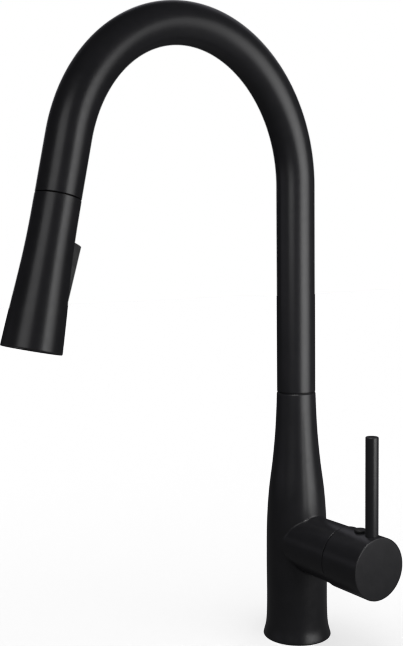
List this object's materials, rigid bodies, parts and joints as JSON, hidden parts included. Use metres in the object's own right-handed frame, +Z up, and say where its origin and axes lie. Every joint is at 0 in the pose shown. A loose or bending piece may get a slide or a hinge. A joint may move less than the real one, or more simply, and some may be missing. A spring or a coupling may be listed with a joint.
{
  "type": "pull-down kitchen faucet",
  "caption": "Matte black single-hole kitchen faucet with a high arched swivel spout, a pull-down spray head with a rocker button, and a side lever on a round hub.",
  "frame": {"origin": "centre of the column on the plane of the worktop's top face, where the faucet is clamped", "axes": "+Z up along the column, +X out along the cartridge branch to the handle; the spout points along -Y, turned 9.8 degrees towards the handle at rest"},
  "size_m": [0.1153, 0.2714, 0.5439],
  "materials": {
    "black_coat": "matte black powder coat on brass",
    "brass": "bare turned brass",
    "steel": "plain stainless steel",
    "rubber": "black sealing rubber",
    "black_plastic": "moulded black plastic",
    "white_plastic": "natural acetal",
    "ceramic": "lapped alumina",
    "silicone": "soft grey silicone",
    "magnet": "sintered magnet",
    "hose_braid": "grey nylon braid"
  },
  "bodies": {
    "base": {"body_shell": "black_coat", "base_seal": "rubber", "mounting_shank": "brass", "rubber_washer": "rubber", "clamp_washer": "steel", "mounting_nut": "brass", "upper_swivel_bush": "black_plastic", "lower_swivel_bush": "white_plastic", "cartridge_housing": "white_plastic", "cartridge_seal_1": "rubber", "cartridge_seal_2": "rubber", "cartridge_seal_3": "rubber", "fixed_disc": "ceramic", "cartridge_nut": "brass", "dome_ring": "black_plastic"},
    "spout": {"spout_tube": "black_coat", "spout_spigot": "brass", "spout_o_ring_1": "rubber", "spout_o_ring_2": "rubber", "spout_retaining_ring": "steel", "spray_hose": "hose_braid", "hose_tail_fitting": "brass", "dock_collar": "black_plastic", "dock_magnet": "magnet"},
    "hose_end": {"hose_ferrule": "steel"},
    "spray_head": {"hose_swivel_nut": "brass", "dock_keeper": "steel", "hose_washer": "rubber", "head_shell": "black_coat", "head_waterway": "black_plastic", "check_valve": "white_plastic", "rocker_pin": "steel", "spray_chamber": "black_plastic", "nozzle_mat": "silicone", "spray_face": "black_plastic", "aerator": "white_plastic"},
    "rocker": {"rocker_button": "black_plastic"},
    "spool": {"diverter_spool": "white_plastic", "spool_o_ring_1": "rubber", "spool_o_ring_2": "rubber"},
    "turret": {"turret": "white_plastic", "pivot_pin": "steel"},
    "disc": {"moving_disc": "ceramic", "disc_carrier": "white_plastic"},
    "handle": {"stem": "brass", "hub": "black_coat", "set_screw": "steel", "index_plug": "black_plastic", "lever_rod": "black_coat"}
  },
  "joints": [
    {"name": "spout_swivel", "type": "hinge", "parent": "base", "child": "spout", "pos_m": [0, 0, 0], "axis": [0, 0, 1], "range_deg": [-80, 60]},
    {"name": "spray_pull", "type": "slide", "parent": "spout", "child": "hose_end", "axis": [0.0392, -0.2267, -0.9732], "range_m": [0, 0.2], "stiffness_N_per_m": 10, "springref_m": -0.45},
    {"name": "spray_turn", "type": "hinge", "parent": "hose_end", "child": "spray_head", "pos_m": [0.03571, -0.20672, 0.32346], "axis": [-0.0392, 0.2267, 0.9732], "continuous": true},
    {"name": "mode_rocker", "type": "hinge", "parent": "spray_head", "child": "rocker", "pos_m": [0.03569, -0.20664, 0.27771], "axis": [0.9854, 0.1702, 0], "range_deg": [0, 10]},
    {"name": "diverter_shift", "type": "slide", "parent": "spray_head", "child": "spool", "axis": [0.0392, -0.2267, -0.9732], "range_m": [0, 0.0011]},
    {"name": "handle_temperature", "type": "hinge", "parent": "base", "child": "turret", "pos_m": [0.05, 0, 0.073], "axis": [1, 0, 0], "range_deg": [-50, 50]},
    {"name": "handle_flow", "type": "hinge", "parent": "turret", "child": "handle", "pos_m": [0.05, 0, 0.073], "axis": [0, 1, 0], "range_deg": [0, 24]},
    {"name": "disc_shift", "type": "slide", "parent": "turret", "child": "disc", "axis": [0, 0, 1], "range_m": [0, 0.0041]}
  ],
  "couplings": [
    {"joint": "diverter_shift", "follows": "mode_rocker", "m_per_rad": 0.0062},
    {"joint": "disc_shift", "follows": "handle_flow", "m_per_rad": 0.0097}
  ]
}
